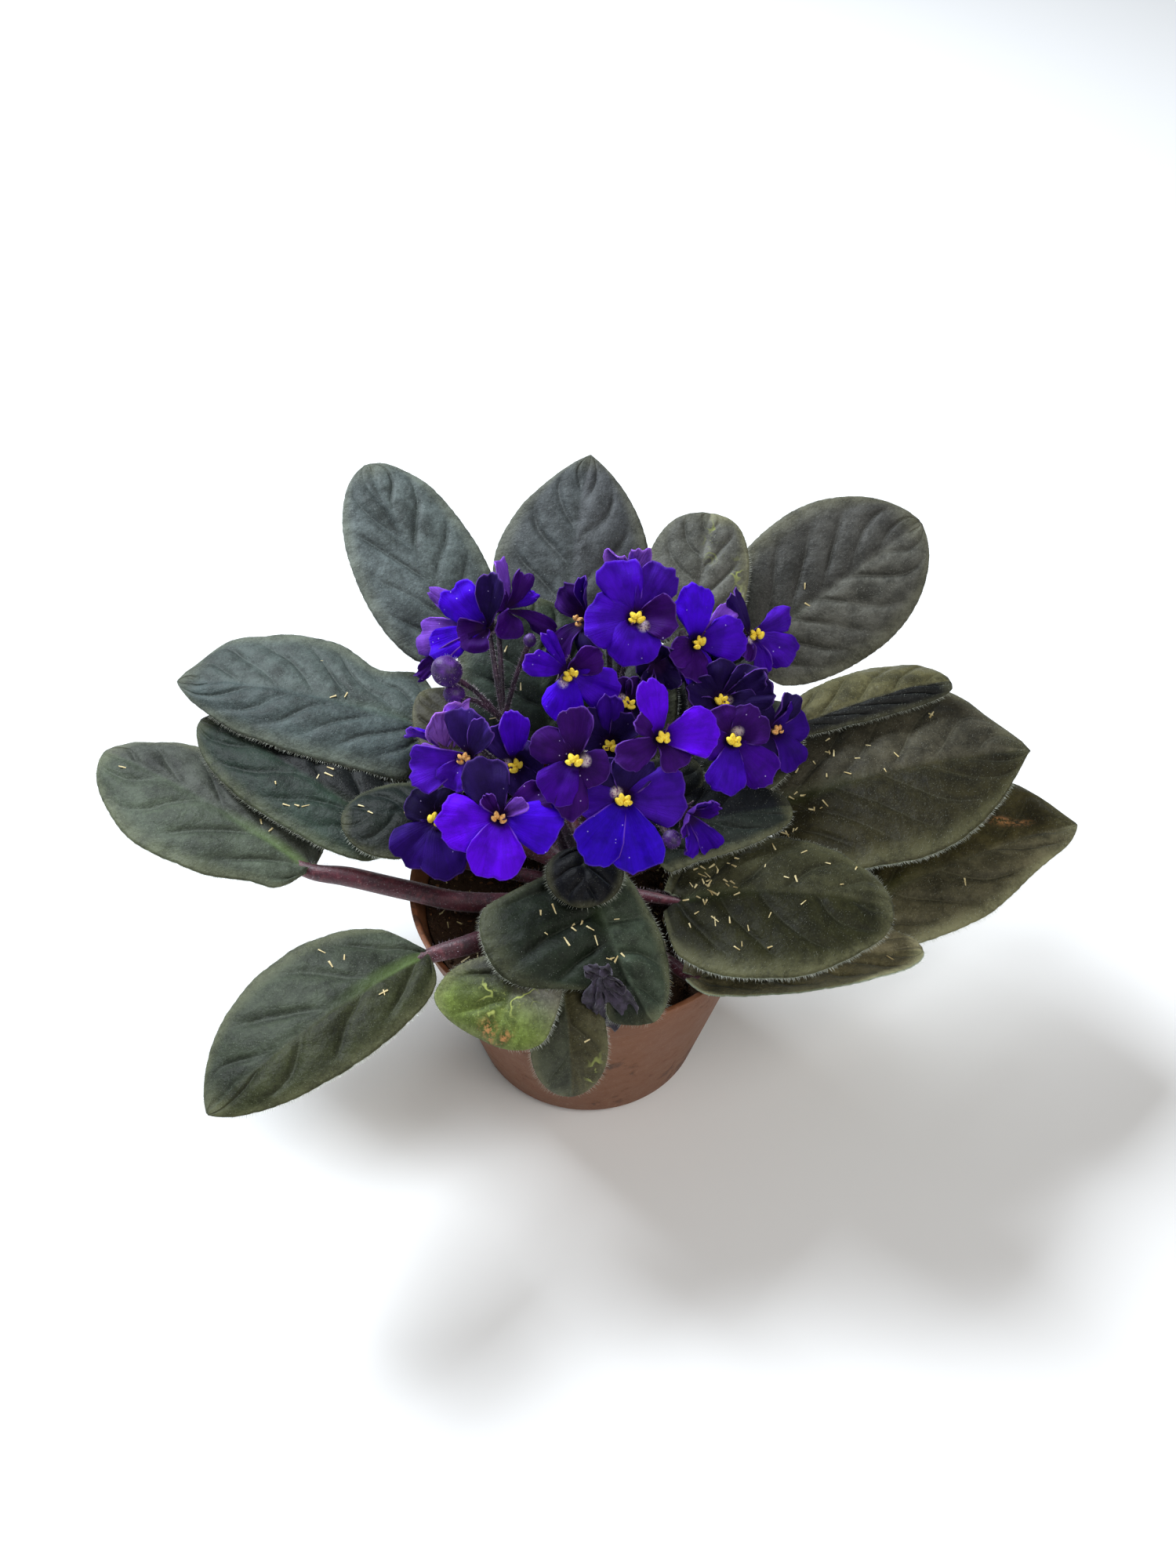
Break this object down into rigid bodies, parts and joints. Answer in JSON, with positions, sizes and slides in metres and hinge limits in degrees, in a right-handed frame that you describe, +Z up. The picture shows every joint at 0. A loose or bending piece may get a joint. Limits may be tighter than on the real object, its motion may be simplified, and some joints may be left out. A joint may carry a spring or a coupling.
{
  "type": "potted african violet",
  "caption": "Rosette houseplant with broad velvety leaves on long stalks and a dome of violet five-petalled blooms, growing in soil in a shallow round tapered pot.",
  "frame": {"origin": "middle of the underside of the pot's base, on the surface it stands on", "axes": "+Z up along the pot's axis, the plant's best side faces -Y, its longest leaves spread along X"},
  "size_m": [0.3409, 0.2384, 0.1799],
  "materials": {
    "terracotta": "matte brown terracotta colour with earth smudges",
    "soil": "dark crumbly potting soil with bark and straw flecks",
    "leaf": "velvety dark green with fine hairs and sunken veins",
    "stalk": "wine purple with white hairs",
    "petal": "velvety violet blue",
    "anther": "powdery yellow"
  },
  "bodies": {
    "root": {"pot": "terracotta", "soil": "soil", "crown": "leaf", "leaf_back_left": "leaf", "leaf_back": "leaf", "leaf_back_young": "leaf", "leaf_back_right": "leaf", "leaf_left_upper": "leaf", "leaf_left_middle": "leaf", "leaf_left_far": "leaf", "leaf_left_young": "leaf", "leaf_front_left": "leaf", "leaf_right_rolled": "leaf", "leaf_right_upper": "leaf", "leaf_right_lower": "leaf", "leaf_front_right": "leaf", "leaf_front_right_low": "leaf", "leaf_front": "leaf", "leaf_front_pale": "leaf", "leaf_front_hanging": "leaf", "stalk_left": "stalk", "stalk_front": "stalk", "stalk_middle": "stalk", "stalk_back": "stalk", "stalk_right": "stalk", "bloom_top": "petal", "anthers_top": "anther", "bloom_back_mid": "petal", "anthers_back_mid": "anther", "bloom_left_high": "petal", "bloom_left_back": "petal", "bloom_behind_top": "petal", "bloom_right_high": "petal", "anthers_right_high": "anther", "bloom_right_small": "petal", "anthers_right_small": "anther", "bloom_right_faded": "petal", "anthers_right_faded": "anther", "bloom_right_front": "petal", "anthers_right_front": "anther", "bloom_middle_right": "petal", "anthers_middle_right": "anther", "bloom_middle_back": "petal", "anthers_middle_back": "anther", "bloom_middle_left": "petal", "anthers_middle_left": "anther", "bloom_inner_left": "petal", "anthers_inner_left": "anther", "bloom_front_right": "petal", "anthers_front_right": "anther", "bloom_front_left": "petal", "anthers_front_left": "anther", "bloom_low_left": "petal", "anthers_low_left": "anther", "bloom_left_mid": "petal", "bloom_left_pale": "petal", "bloom_right_edge": "petal", "anthers_right_edge": "anther", "bloom_half_open": "petal", "bloom_back_pale": "petal"}
  },
  "joints": []
}
